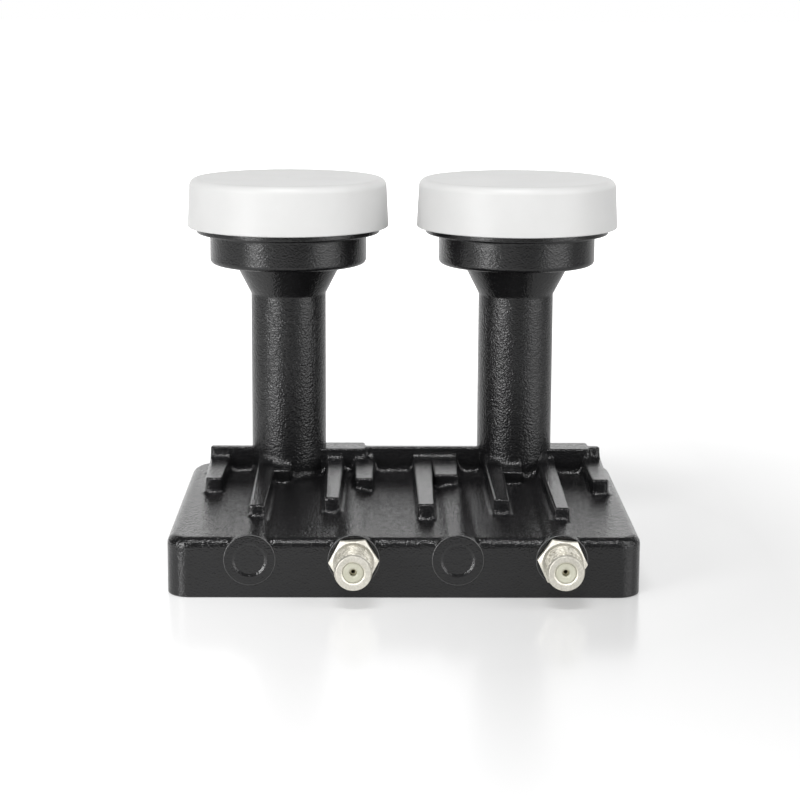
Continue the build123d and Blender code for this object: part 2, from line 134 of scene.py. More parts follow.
def ridge(x):
    """Ridge behind a port: it rolls over the rounded front edge, then runs straight back to the wall."""
    stations = []
    for step in range(7):
        roll = radians(84 - 14 * step)
        stations.append((front_y + roof_edge * (1 - sin(roll)), roof - roof_edge * (1 - cos(roll)),
                         flank_front + (flank_back - flank_front) * step / 6))
    stations += [(front_y + 3.0, roof, flank_back), (neck_y, roof, flank_back)]
    rings = []
    for y, level, flank in stations:
        rise = level - port_z
        foot = sqrt((boss_radius + flank) ** 2 - (rise + flank) ** 2)
        lean = atan2(rise + flank, foot)
        half = [(foot + 0.5, level - 1.2), (foot + 0.5, level - 0.01)]
        for k in range(9):
            angle = 1.5 * pi - (0.5 * pi - lean) * k / 8
            half.append((foot + flank * cos(angle), level + flank + flank * sin(angle)))
        for k in range(1, 7):
            angle = lean + (0.5 * pi - lean) * k / 6
            half.append((boss_radius * cos(angle), port_z + boss_radius * sin(angle)))
        across = half + [(-u, v) for u, v in reversed(half[:-1])]
        rings.append([(x + u, y, v) for u, v in across])
    return loft(rings)


def turned(profile, place=None, segments=96, closed=True):
    """Surface of revolution of a profile of (radius, height) about Z, moved to its place."""
    place = place or Matrix()
    count = len(profile)
    points = []
    for k in range(segments):
        angle = 2 * pi * k / segments
        points += [place @ Vector((r * cos(angle), r * sin(angle), h)) for r, h in profile]
    faces = []
    for k in range(segments):
        n = (k + 1) % segments
        for row in range(count if closed else count - 1):
            up = (row + 1) % count
            faces.append((k * count + row, n * count + row, n * count + up, k * count + up))
    return points, faces


def port_place(x):
    """Place of a turned piece that stands out of the front face, its height measured ahead of it."""
    return Matrix.Translation((x, front_y, port_z)) @ Matrix.Rotation(radians(90), 4, "X")


blank_face = eased((
    (0, 0.05, 0), (3.7, 0.05, 0.15), (4.35, boss_proud, 0.15), (boss_radius, boss_proud, 0.35),
    (boss_radius, -boss_depth, 0), (0, -boss_depth, 0)), closed=False, steps=5, hold=0.05)
live_face = eased((
    (boss_bore, -boss_depth, 0), (boss_bore, boss_proud, 0.1), (boss_radius, boss_proud, 0.35),
    (boss_radius, -boss_depth, 0)), closed=False, steps=5, hold=0.05)
bosses = []
for k, x in enumerate(port_x):
    live = k % 2 == 1
    bosses.append(turned(live_face if live else blank_face, port_place(x), 112, closed=live))
shell = solid("casting_shell", [body_shell] + [ridge(x) for x in port_x] + bosses)

# Cross wall and ribs of the same casting: low rails that stiffen the top, each a section with a rounded
# top edge and a soft root, carried round the rail's plan and let down on to the body.
neck_radius, wall_front, wall_back, pad_front, pad_back = 10.5, 25.2, 27.9, 23.1, 31.8
wall_left, wall_right, pad_left, pad_right = -54.3, 56.5, -10.4, 53.35
rib_spread, rib_bite, skirt_z, back_gap = 1.2, 1.5, 13.4, 0.12
feed_x = {"left": -32.05, "right": 32.05}
left_x, right_x = feed_x.values()
# Each kind of rail: its height, edge radius, root radius, step along the plan, and its plans
rail_plans = {
    "ribs": (4.3, 0.65, 1.4, 0.8, []),
    "low_ribs": (3.8, 0.65, 1.0, 0.8, []),
    "cross_wall": (7.4, 0.55, 1.9, 0.5, [
        ((wall_left, wall_front, 0.8), (left_x, wall_front, 1.0), (left_x, pad_front, 0.8),
         (pad_left, pad_front, 0.8), (pad_left, wall_front, 1.0), (right_x, wall_front, 1.0),
         (right_x, pad_front, 0.8), (pad_right, pad_front, 0.8), (pad_right, wall_front, 1.0),
         (wall_right, wall_front, 1.2), (wall_right, wall_back, 1.2), (pad_right, wall_back, 1.0),
         (pad_right, pad_back, 0.8), (right_x, pad_back, 0.8), (right_x, wall_back, 1.0),
         (pad_left, wall_back, 1.0), (pad_left, pad_back, 0.8), (left_x, pad_back, 0.8),
         (left_x, wall_back, 1.0), (wall_left, wall_back, 0.8))]),
    "neck_roots": (9.0, 0.05, 2.1, 0.5, [
        [(x + neck_radius * cos(k * pi / 64), neck_y + neck_radius * sin(k * pi / 64), 0) for k in range(128)]
        for x in feed_x.values()]),
}
for kind, x, width, reach in (
        ("ribs", -51.5, 4.6, 27.3), ("ribs", -38.0, 4.1, 56.0), ("low_ribs", -34.2, 6.2, 16.0),
        ("ribs", -18.8, 4.0, 48.4), ("ribs", -10.5, 4.8, 27.4), ("ribs", 5.9, 4.3, 55.0),
        ("ribs", 12.1, 6.5, 23.0), ("ribs", 25.8, 4.1, 49.4), ("low_ribs", 30.3, 6.4, 17.2),
        ("ribs", 40.8, 4.0, 58.6), ("ribs", 54.0, 4.5, 28.6)):
    wide = (width + rib_spread) / 2
    rail_plans[kind][4].append((
        (x - width / 2, neck_y - reach, 0.85), (x + width / 2, neck_y - reach, 0.85),
        (x + wide, wall_front + rib_bite, 1.1), (x - wide, wall_front + rib_bite, 1.1)))

rail_tree = bpy.data.node_groups.new("cast_rail", "GeometryNodeTree")
for name, kind in (("Plan", "NodeSocketGeometry"), ("Body", "NodeSocketObject"), ("Height", "NodeSocketFloat"),
                   ("Top", "NodeSocketFloat"), ("Edge", "NodeSocketFloat"), ("Root", "NodeSocketFloat"),
                   ("Skirt", "NodeSocketFloat"), ("Back", "NodeSocketFloat"), ("Step", "NodeSocketFloat"),
                   ("Coat", "NodeSocketMaterial")):
    rail_tree.interface.new_socket(name, in_out="INPUT", socket_type=kind)
rail_tree.interface.new_socket("Rail", in_out="OUTPUT", socket_type="NodeSocketGeometry")


def step_in(tree, kind, settings=None, inputs=None):
    """Adds a node to a geometry tree, with its settings first and then the values or links of its sockets."""
    made = tree.nodes.new(kind)
    for name, value in (settings or {}).items():
        setattr(made, name, value)
    for name, value in (inputs or {}).items():
        if isinstance(value, bpy.types.NodeSocket):
            tree.links.new(value, made.inputs[name])
        else:
            made.inputs[name].default_value = value
    return made.outputs


def sum_in(tree, operation, first, second):
    """Result of one sum on two values or links of a geometry tree."""
    return step_in(tree, "ShaderNodeMath", {"operation": operation}, {0: first, 1: second})[0]


def pick_in(tree, kind, choices):
    """Value of each point by its number along the line."""
    order = step_in(tree, "GeometryNodeInputIndex")
    pick = tree.nodes.new("GeometryNodeIndexSwitch")
    pick.data_type = kind
    while len(pick.index_switch_items) < len(choices):
        pick.index_switch_items.new()
    tree.links.new(order[0], pick.inputs[0])
    for k, value in enumerate(choices):
        if isinstance(value, bpy.types.NodeSocket):
            tree.links.new(value, pick.inputs[k + 1])
        else:
            pick.inputs[k + 1].default_value = value
    return pick.outputs[0]


def plain_mesh(name, source, tree, values):
    """Mesh that a geometry tree makes of a source mesh, its inputs set by identifier."""
    maker = bpy.data.objects.new(name, source)
    bpy.context.scene.collection.objects.link(maker)
    modifier = maker.modifiers.new(name, "NODES")
    modifier.node_group = tree
    for socket in tree.interface.items_tree:
        if socket.in_out == "INPUT" and socket.name in values:
            modifier[socket.identifier] = values[socket.name]
    seen = maker.evaluated_get(bpy.context.evaluated_depsgraph_get())
    made = bpy.data.meshes.new_from_object(seen)
    bpy.data.objects.remove(maker)
    return made


# The section and the ray are in metres: the ray starts above the body, and the skirt ends below it
ray_from, ray_length, skirt_drop, sink = 0.05, 0.1, 0.001, 0.00002
given = step_in(rail_tree, "NodeGroupInput")
drawn = step_in(rail_tree, "GeometryNodeMeshToCurve", inputs={0: given["Plan"]})
path = step_in(rail_tree, "GeometryNodeResampleCurve", {"mode": "LENGTH"},
               {"Curve": drawn[0], "Length": given["Step"]})
lift = sum_in(rail_tree, "MULTIPLY", given["Height"], -1.0)
held = sum_in(rail_tree, "MULTIPLY", given["Edge"], 1.15)
foot = sum_in(rail_tree, "MULTIPLY", given["Root"], 1.3)
top_inner = sum_in(rail_tree, "MULTIPLY", given["Edge"], -1.1)
side_top = sum_in(rail_tree, "ADD", lift, held)
side_foot = sum_in(rail_tree, "MULTIPLY", given["Root"], -1.1)
corners = []
for out, down in ((top_inner, lift), (0.0, lift), (0.0, side_top), (0.0, side_foot), (0.0, 0.0), (foot, 0.0),
                  (foot, skirt_drop)):
    corners.append(step_in(rail_tree, "ShaderNodeCombineXYZ", inputs={0: out, 1: down})[0])
corner_of = pick_in(rail_tree, "VECTOR", corners)
radius_of = pick_in(rail_tree, "FLOAT", (0.0, given["Edge"], 0.0, 0.0, given["Root"], 0.0, 0.0))
section_line = step_in(rail_tree, "GeometryNodeMeshLine", inputs={"Count": len(corners)})
bent = step_in(rail_tree, "GeometryNodeSetPosition", inputs={"Geometry": section_line[0], "Position": corner_of})
open_line = step_in(rail_tree, "GeometryNodeMeshToCurve", inputs={0: bent[0]})
soft_line = step_in(rail_tree, "GeometryNodeFilletCurve", {"mode": "POLY"},
                    {"Curve": open_line[0], "Count": 5, "Radius": radius_of})
swept = step_in(rail_tree, "GeometryNodeCurveToMesh", inputs={"Curve": path[0], "Profile Curve": soft_line[0]})
where = step_in(rail_tree, "GeometryNodeInputPosition")
apart = step_in(rail_tree, "ShaderNodeSeparateXYZ", inputs={0: where[0]})
inside = sum_in(rail_tree, "MINIMUM", apart[1], given["Back"])
above = step_in(rail_tree, "ShaderNodeCombineXYZ", inputs={0: apart[0], 1: inside, 2: ray_from})
body = step_in(rail_tree, "GeometryNodeObjectInfo", inputs={"Object": given["Body"]})
ground = step_in(rail_tree, "GeometryNodeRaycast", {"data_type": "FLOAT"}, {
    "Target Geometry": body["Geometry"], "Source Position": above[0], "Ray Direction": (0.0, 0.0, -1.0),
    "Ray Length": ray_length})
landed = step_in(rail_tree, "ShaderNodeSeparateXYZ", inputs={0: ground["Hit Position"]})
sunk = sum_in(rail_tree, "SUBTRACT", landed[2], sink)
buried = step_in(rail_tree, "FunctionNodeCompare", {"operation": "LESS_THAN"}, {0: apart[2], 1: -skirt_drop / 2})
low = step_in(rail_tree, "GeometryNodeSwitch", {"input_type": "FLOAT"}, {
    "Switch": buried[0], "False": sum_in(rail_tree, "ADD", sunk, apart[2]), "True": given["Skirt"]})[0]
high = sum_in(rail_tree, "ADD", sum_in(rail_tree, "SUBTRACT", apart[2], given["Height"]), given["Top"])
middle = sum_in(rail_tree, "MULTIPLY", given["Height"], 0.5)
upper = step_in(rail_tree, "FunctionNodeCompare", {"operation": "GREATER_THAN"}, {0: apart[2], 1: middle})
level = step_in(rail_tree, "GeometryNodeSwitch", {"input_type": "FLOAT"},
                {"Switch": upper[0], "False": low, "True": high})
moved = step_in(rail_tree, "ShaderNodeCombineXYZ", inputs={0: apart[0], 1: inside, 2: level[0]})
laid = step_in(rail_tree, "GeometryNodeSetPosition", inputs={"Geometry": swept[0], "Position": moved[0]})
real = step_in(rail_tree, "GeometryNodeRealizeInstances", inputs={"Geometry": laid[0]})
coated = step_in(rail_tree, "GeometryNodeSetMaterial", inputs={"Geometry": real[0], "Material": given["Coat"]})
step_in(rail_tree, "NodeGroupOutput", inputs={0: coated[0]})

# The wall and the neck roots are let down after the ribs, so that they lie over them
coat_black = bpy.data.materials.new("black_powder_coat")
for course in (("ribs", "low_ribs"), ("cross_wall", "neck_roots")):
    grown = bmesh.new()
    for name in course:
        height, edge, root, step, plans = rail_plans[name]
        outline = bpy.data.meshes.new(name)
        points, edges = [], []
        for plan in plans:
            line = eased(plan, steps=5)
            first = len(points)
            points += [(x * mm, y * mm, 0) for x, y in line]
            edges += [(first + k, first + (k + 1) % len(line)) for k in range(len(line))]
        outline.from_pydata(points, edges, [])
        rail = plain_mesh(name, outline, rail_tree, {
            "Body": shell, "Height": height * mm, "Top": (roof + height) * mm, "Edge": edge * mm,
            "Root": root * mm, "Skirt": skirt_z * mm, "Back": (back_y - back_gap) * mm, "Step": step * mm,
            "Coat": coat_black})
        grown.from_mesh(rail)
        bpy.data.meshes.remove(rail)
    rims = [edge for edge in grown.edges if edge.is_boundary]
    bmesh.ops.holes_fill(grown, edges=rims, sides=0)
    bmesh.ops.recalc_face_normals(grown, faces=grown.faces)
    grown.from_mesh(shell.data)
    grown.to_mesh(shell.data)
    grown.free()

# Necks and horns of the same casting: a straight tube with the waveguide bore, a short cone, a collar
# and a thin flange that the cap snaps over, with a choke ring and a seal groove inside the cap.
bore, collar, flange, bead_groove, seal_groove = 8.75, 21.9, 25.65, 25.25, 24.35
choke_out, choke_in, choke_floor = 19.55, 14.95, 85.0
cone_from, cone_to, flange_z, mouth_z = 66.8, 75.3, 84.0, 92.0
horn_section = eased((
    (bore, 13.6, 0), (10.2, 13.6, 0), (10.2, 24.0, 0), (neck_radius, 24.0, 0), (neck_radius, cone_from, 1.6),
    (14.9, cone_to, 0.5), (collar, cone_to, 1.3), (collar, flange_z, 0.9), (flange, flange_z, 0.4),
    (flange, 86.6, 0), (bead_groove, 86.6, 0), (bead_groove, 87.6, 0), (flange, 87.6, 0),
    (flange, 88.35, 0), (seal_groove, 88.35, 0), (seal_groove, 90.25, 0), (flange, 90.25, 0),
    (flange, mouth_z, 0.3), (choke_out, mouth_z, 0), (choke_out, choke_floor, 0), (choke_in, choke_floor, 0),
    (choke_in, mouth_z, 0), (13.35, mouth_z, 0.2), (bore, cone_from, 0.8)), steps=5)
horns = solid("horns", [turned(horn_section, Matrix.Translation((x, neck_y, 0)), 128) for x in feed_x.values()])
casting = bmesh.new()
for mesh in (shell.data, horns.data):
    casting.from_mesh(mesh)
casting_mesh = bpy.data.meshes.new("housing_casting")
casting.to_mesh(casting_mesh)
casting.free()
casting_mesh.shade_smooth()
casting_mesh.set_sharp_from_angle(angle=smooth_angle)
housing = bpy.data.objects.new("housing_casting", casting_mesh)
bpy.context.scene.collection.objects.link(housing)
for spare in (shell, horns):
    bpy.data.objects.remove(spare)


class Sock:
    """One socket of a finish's tree: a sum on it adds a Math node, and node() adds any other node."""

    def __init__(self, tree, socket=None):
        self.tree = tree
        self.socket = socket

    def node(self, kind, settings=None, inputs=None, output=0):
        """Adds a node, with its settings first and then the values or links of its sockets."""
        made = self.tree.nodes.new(kind)
        for name, value in (settings or {}).items():
            setattr(made, name, value)
        for name, value in (inputs or {}).items():
            if isinstance(value, Sock):
                self.tree.links.new(value.socket, made.inputs[name])
            else:
                made.inputs[name].default_value = value
        return Sock(self.tree, made.outputs[output] if made.outputs else None)

    def math(self, operation, first, second):
        """Result of one sum on two values or sockets."""
        return self.node("ShaderNodeMath", {"operation": operation}, {0: first, 1: second})

    def __add__(self, other):
        return self.math("ADD", self, other)

    def __radd__(self, other):
        return self.math("ADD", other, self)

    def __sub__(self, other):
        return self.math("SUBTRACT", self, other)

    def __rsub__(self, other):
        return self.math("SUBTRACT", other, self)

    def __mul__(self, other):
        return self.math("MULTIPLY", self, other)

    def __rmul__(self, other):
        return self.math("MULTIPLY", other, self)

    def noise(self, scale, detail=2.0, roughness=0.5):
        """Noise over these coordinates."""
        return self.node("ShaderNodeTexNoise", {}, {
            "Vector": self, "Scale": scale, "Detail": detail, "Roughness": roughness})

    def blend(self, first, second):
        """Colour between two others, by this value."""
        return self.node("ShaderNodeMix", {"data_type": "RGBA"}, {0: self, 6: first, 7: second}, 2)

    def part(self, axis):
        """One axis of this vector."""
        return self.node("ShaderNodeSeparateXYZ", {}, {0: self}, axis)

    def ramp(self, low, high):
        """This value, taken from 0 at low to 1 at high."""
        return self.node("ShaderNodeMapRange", {}, {"Value": self, "From Min": low, "From Max": high})


def start_finish(material):
    """Empties a material's tree and gives the piece's own coordinates to begin from."""
    material.use_nodes = True
    material.node_tree.nodes.clear()
    return Sock(material.node_tree).node("ShaderNodeTexCoord", output="Object")


def end_finish(place, inputs):
    """Closes a finish with its shader."""
    shader = place.node("ShaderNodeBsdfPrincipled", {}, inputs)
    place.node("ShaderNodeOutputMaterial", {}, {"Surface": shader})


# The coat's grain is finer low on the walls, on the rib tops and at the horns, and a pale ring round the boss rims
# is a painted highlight
place = start_finish(coat_black)
grain = place.noise(2000, 1.0)
peel = place.noise(900, 1.0)
cloud = place.noise(60, 3.0)
up = place.part(2)
level = place.node("ShaderNodeNewGeometry", output="True Normal").part(2).ramp(0.90, 0.98)
rib_top = level * up.ramp(0.0186, 0.0189) * (1.0 - up.ramp(0.0200, 0.0203))
coarse = (0.5 + 0.5 * up.ramp(0.0105, 0.013)) * (1.0 - 0.55 * rib_top) * (1.0 - 0.5 * up.ramp(0.060, 0.074))
height = (grain + peel * 0.4) * coarse
aside = place.part(0) - port_x[0] * mm
across = aside.math("PINGPONG", aside, port_pitch / 2 * mm)
rise = up - port_z * mm
reach = across * across + rise * rise
from_axis = reach.math("POWER", reach, 0.5)
# A pale ring is painted round each boss's outer edge: a painted highlight along the rim
rim_highlight_ring = (1.0 - from_axis.ramp(boss_radius * mm, (boss_radius + 0.05) * mm)) * from_axis.ramp(
    (boss_radius - 0.25) * mm, (boss_radius - 0.12) * mm)
painted_rim_highlight = rim_highlight_ring * (1.0 - place.part(1).ramp((front_y - boss_proud) * mm, (front_y + 0.05) * mm))
black = cloud.ramp(0.3, 0.7).blend((0.005, 0.005, 0.0054, 1), (0.0075, 0.0075, 0.008, 1))
end_finish(place, {
    "Base Color": painted_rim_highlight.blend(black, (0.09, 0.09, 0.09, 1)),
    "Roughness": 0.13 + 0.12 * grain + 0.04 * cloud,
    "Specular IOR Level": 0.5,
    "Normal": place.node("ShaderNodeBump", {}, {"Strength": 1.0, "Distance": 0.00019, "Height": height}),
})
casting_mesh.materials.clear()
casting_mesh.materials.append(coat_black)
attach(housing, "root")
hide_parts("housing")

# Feed caps: white mouldings snapped over the flanges, thin enough for the signal to pass.
# The wall draws in a little towards a soft top edge; the left cap shows its moulding gate.
cap_inner, cap_foot, cap_shoulder, cap_bead = 25.8, 28.1, 27.45, 25.4
cap_rim, cap_ceiling, cap_top = 85.7, 97.65, 99.25
cap_section = eased((
    (0, cap_ceiling, 0), (cap_inner, cap_ceiling, 1.0), (cap_inner, 87.55, 0), (cap_bead, 87.1, 0),
    (cap_inner, 86.65, 0), (cap_inner, cap_rim, 0.15), (cap_foot, cap_rim, 0.3), (cap_shoulder, cap_top, 2.2),
    (1.2, cap_top, 0)), closed=False, steps=9)
gate_section = [(0.55, 99.24), (0.42, 99.0), (0.3, 98.95), (0.26, 99.2), (0, 99.22)]
cap_white = bpy.data.materials.new("white_moulding")
place = start_finish(cap_white)
flow = place.noise(70, 3.0)
fine = place.noise(1800, 2.0)
end_finish(place, {
    "Base Color": flow.ramp(0.3, 0.7).blend((0.555, 0.555, 0.55, 1), (0.585, 0.585, 0.58, 1)),
    "Roughness": 0.40 + 0.10 * fine,
    "Normal": place.node("ShaderNodeBump", {}, {"Strength": 0.12, "Distance": 0.00005, "Height": fine}),
})
for side, x in feed_x.items():
    middle = gate_section if side == "left" else [(0, cap_top)]
    cap = solid(f"feed_cap_{side}_moulding", [
        turned(cap_section + middle, Matrix.Translation((x, neck_y, 0)), 160, closed=False)])
    cap.data.materials.append(cap_white)
    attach(cap, "root")
    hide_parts(f"feed_cap_{side}")

# Rubber seals: square-cut rings under the caps and behind the port hexagons, and the back gasket.
# They are black nitrile, matt, with a faint mould bloom.
rubber = bpy.data.materials.new("black_rubber")
place = start_finish(rubber)
bloom = place.noise(400, 3.0)
end_finish(place, {
    "Base Color": bloom.ramp(0.35, 0.7).blend((0.012, 0.012, 0.012, 1), (0.022, 0.022, 0.021, 1)),
    "Roughness": 0.62 + 0.2 * bloom,
    "Normal": place.node("ShaderNodeBump", {}, {"Strength": 0.2, "Distance": 0.00005, "Height": bloom}),
})


def dress(material, *nodes):
    """Gives modelled nodes that stay as they are their finish."""
    for node in nodes:
        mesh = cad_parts[node].data
        mesh.materials.clear()
        mesh.materials.append(material)


dress(rubber, "cap_seal_left", "cap_seal_right", "cover_gasket")
hex_back, seal_radius = 0.9, 5.3
seal_section = eased((
    (boss_bore, boss_proud, 0.08), (seal_radius, boss_proud, 0.08), (seal_radius, hex_back, 0.08),
    (boss_bore, hex_back, 0.08)), steps=3, hold=0.03)
ports = {"left": (port_x[1], radians(2.3)), "right": (port_x[3], radians(-5.6))}
for side, (x, _) in ports.items():
    seal = solid(f"port_seal_{side}_ring", [turned(seal_section, port_place(x), 72)])
    seal.data.materials.append(rubber)
    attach(seal, "root")
    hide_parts(f"port_seal_{side}")

# Port shells: turned from hexagon brass bar, threaded 32 to the inch and nickel plated.
# The hexagon is bevelled in front, and the mouth is opened out to the insulator.
crest, pitch, depth, tip = 4.7625, 0.79375, 0.36, 11.8
hex_front, hex_bevel, hex_flat, hex_face, hex_hole, hex_edge = 2.7, 0.7, 5.5, 5.2, 4.1, 0.12
inner_end, mouth_bore = -8.9, 2.65
nickel = bpy.data.materials.new("nickel_plate")
place = start_finish(nickel)
plate = place.noise(500, 4.0, 0.6)
tarnish = place.noise(160, 3.0)
pits = place.noise(1900, 2.0).ramp(0.40, 0.60)
worn = tarnish.ramp(0.35, 0.7).blend((0.75, 0.725, 0.645, 1), (0.85, 0.825, 0.75, 1))
outward = place.part(1)
# The threaded barrel is painted darker and mottled: painted shade in the thread valleys, mixed with grime in them
thread_shade_band = outward.ramp((front_y - tip + 0.7) * mm, (front_y - tip + 0.9) * mm) * (
    1.0 - outward.ramp((front_y - hex_front - 0.5) * mm, (front_y - hex_front - 0.2) * mm))
thread_grime_and_shade = place.noise(1500, 2.0).ramp(0.42, 0.60)
pits_grime_and_shade = 0.16 - 0.16 * pits + thread_shade_band * (0.22 + 0.45 * thread_grime_and_shade)
end_finish(place, {
    "Base Color": pits_grime_and_shade.blend(worn, (0.20, 0.185, 0.14, 1)),
    "Metallic": 1.0,
    "Roughness": 0.45 + 0.14 * plate,
    "Normal": place.node("ShaderNodeBump", {}, {"Strength": 0.3, "Distance": 0.00003, "Height": pits}),
})
thread_tree = bpy.data.node_groups.new("screw_thread", "GeometryNodeTree")
for name, kind in (("Base", "NodeSocketGeometry"), ("Turns", "NodeSocketFloat"), ("Radius", "NodeSocketFloat"),
                   ("Length", "NodeSocketFloat"), ("Depth", "NodeSocketFloat"), ("Metal", "NodeSocketMaterial")):
    thread_tree.interface.new_socket(name, in_out="INPUT", socket_type=kind)
thread_tree.interface.new_socket("Thread", in_out="OUTPUT", socket_type="NodeSocketGeometry")
given = step_in(thread_tree, "NodeGroupInput")
helix = step_in(thread_tree, "GeometryNodeCurveSpiral", inputs={
    "Resolution": 48, "Rotations": given["Turns"], "Start Radius": given["Radius"], "End Radius": given["Radius"],
    "Height": given["Length"]})
upright = step_in(thread_tree, "GeometryNodeSetCurveNormal", {"mode": "Z_UP"}, {"Curve": helix[0]})
along = step_in(thread_tree, "GeometryNodeSplineParameter")
from_end = step_in(thread_tree, "ShaderNodeMath", {"operation": "PINGPONG"}, {0: along["Factor"], 1: 0.5})
run_out = step_in(thread_tree, "ShaderNodeMapRange", inputs={
    "Value": from_end[0], "From Min": 0.0, "From Max": 0.05, "To Min": 0.25, "To Max": 1.0})
tapered = step_in(thread_tree, "GeometryNodeSetCurveRadius", inputs={"Curve": upright[0], "Radius": run_out[0]})
tooth = step_in(thread_tree, "GeometryNodeCurvePrimitiveCircle", inputs={
    "Resolution": 4, "Radius": given["Depth"]})
ridge_turns = step_in(thread_tree, "GeometryNodeCurveToMesh", inputs={
    "Curve": tapered[0], "Profile Curve": tooth[0], "Scale": run_out[0], "Fill Caps": True})
real = step_in(thread_tree, "GeometryNodeRealizeInstances", inputs={"Geometry": ridge_turns[0]})
plated = step_in(thread_tree, "GeometryNodeSetMaterial", inputs={"Geometry": real[0], "Material": given["Metal"]})
step_in(thread_tree, "NodeGroupOutput", inputs={0: plated[0]})
thread_from, thread_to = hex_front + 0.3, tip - 0.75
thread_mesh = plain_mesh("screw_thread", bpy.data.meshes.new("none"), thread_tree, {
    "Turns": (thread_to - thread_from) / pitch, "Radius": (crest - depth) * mm,
    "Length": (thread_to - thread_from) * mm, "Depth": depth * mm, "Metal": nickel})
thread_mesh.transform(Matrix.Translation((0, 0, thread_from * mm)))

barrel_section = eased((
    (mouth_bore, inner_end, 0), (4.0, inner_end, 0), (4.0, hex_back, 0), (4.3, hex_back, 0), (4.3, thread_from, 0),
    (crest - depth, hex_front + 0.5, 0.1), (crest - depth, tip - 0.85, 0.1), (crest - 0.12, tip - 0.7, 0.1),
    (crest - 0.5, tip, 0.25), (3.0, tip, 0.12), (mouth_bore, tip - 0.3, 0.1)), steps=4, hold=0.04)
hex_corner = hex_flat / cos(pi / 6)
for side, (x, turn) in ports.items():
    sections = []
    for k in range(120):
        angle = 2 * pi * k / 120
        facet = (angle + pi / 6) % (pi / 3) - pi / 6
        radius = hex_flat / cos(facet)
        bevel_z = hex_front - hex_bevel * (radius - hex_face) / (hex_corner - hex_face)
        angle = angle + turn + pi / 6
        sections.append([port_place(x) @ Vector((r * cos(angle), r * sin(angle), h)) for r, h in (
            (hex_hole, hex_back), (radius - hex_edge, hex_back), (radius, hex_back + hex_edge), (radius, bevel_z),
            (hex_face, hex_front), (hex_hole, hex_front))])
    shell = solid(f"port_shell_{side}_turning", [
        loft(list(zip(*sections))), turned(barrel_section, port_place(x), 96)])
    whole = bmesh.new()
    whole.from_mesh(shell.data)
    spun = thread_mesh.copy()
    spun.transform(
        Matrix.Translation((x * mm, front_y * mm, port_z * mm)) @ Matrix.Rotation(radians(90), 4, "X"))
    whole.from_mesh(spun)
    bpy.data.meshes.remove(spun)
    whole.to_mesh(shell.data)
    whole.free()
    shell.data.shade_smooth()
    shell.data.set_sharp_from_angle(angle=radians(28))
    shell.data.materials.clear()
    shell.data.materials.append(nickel)
    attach(shell, "root")
    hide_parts(f"port_shell_{side}")
bpy.data.meshes.remove(thread_mesh)

# Port insulators: natural polymer bushes pushed into the shells, with a narrow entry for the core.
# They look milky, a little yellow, with a shallow step round the face.
milky = bpy.data.materials.new("milky_polymer")
place = start_finish(milky)
milk = place.noise(350, 3.0)
end_finish(place, {
    "Base Color": milk.ramp(0.3, 0.7).blend((0.42, 0.415, 0.33, 1), (0.49, 0.485, 0.40, 1)),
    "Roughness": 0.38 + 0.12 * milk,
    "Normal": place.node("ShaderNodeBump", {}, {"Strength": 0.1, "Distance": 0.00005, "Height": milk}),
})
bush_radius, bush_bore, entry_radius = 2.6, 1.05, 0.92
bush_section = eased((
    (bush_bore, inner_end, 0), (bush_radius, inner_end, 0), (bush_radius, tip - 0.45, 0.1), (2.2, tip - 0.3, 0.1),
    (1.3, tip - 0.36, 0.1), (entry_radius, tip - 0.6, 0.1), (entry_radius, tip - 1.8, 0),
    (bush_bore, tip - 1.8, 0)), steps=4, hold=0.03)
for side, (x, _) in ports.items():
    bush = solid(f"port_insulator_{side}_bush", [turned(bush_section, port_place(x), 72)])
    bush.data.materials.append(milky)
    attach(bush, "root")
    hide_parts(f"port_insulator_{side}")

# Port contacts: plated spring sockets behind the entries, with a solder tail under the board.
# They keep their modelled shape and show only as a glint in the entry.
brass = bpy.data.materials.new("plated_brass")
place = start_finish(brass)
rub = place.noise(900, 3.0)
end_finish(place, {
    "Base Color": rub.ramp(0.3, 0.7).blend((0.40, 0.36, 0.24, 1), (0.58, 0.54, 0.40, 1)),
    "Metallic": 1.0,
    "Roughness": 0.25 + 0.15 * rub,
})
dress(brass, "port_contact_left", "port_contact_right")

# Circuit board: glass laminate with green resist, cut away below each feed for the probe tongues.
# It is sealed inside, so it keeps its modelled shape.
resist = bpy.data.materials.new("green_resist")
place = start_finish(resist)
weave = place.noise(1500, 2.0)
tracks = place.node("ShaderNodeTexVoronoi", {"feature": "DISTANCE_TO_EDGE"}, {"Vector": place, "Scale": 160})
end_finish(place, {
    "Base Color": tracks.ramp(0.02, 0.12).blend((0.03, 0.16, 0.07, 1), (0.02, 0.10, 0.045, 1)),
    "Roughness": 0.32 + 0.15 * weave,
    "Normal": place.node("ShaderNodeBump", {}, {"Strength": 0.15, "Distance": 0.00005, "Height": weave}),
})
dress(resist, "circuit_board")

# Inner shield and back plate: bare cast and rolled aluminium, satin, with fine drawing marks.
# The shield is screwed up under the board, the plate lies in the recess of the rim.
bare = bpy.data.materials.new("bare_aluminium")
place = start_finish(bare)
drawn = place.node("ShaderNodeMapping", {}, {"Vector": place, "Scale": (60.0, 2400.0, 60.0)}).noise(1.0, 3.0)
dull = place.noise(120, 3.0)
end_finish(place, {
    "Base Color": dull.ramp(0.3, 0.7).blend((0.56, 0.56, 0.57, 1), (0.66, 0.66, 0.66, 1)),
    "Metallic": 1.0,
    "Roughness": 0.34 + 0.12 * drawn + 0.06 * dull,
    "Normal": place.node("ShaderNodeBump", {}, {"Strength": 0.12, "Distance": 0.00004, "Height": drawn}),
})
dress(bare, "inner_shield", "cover_plate")

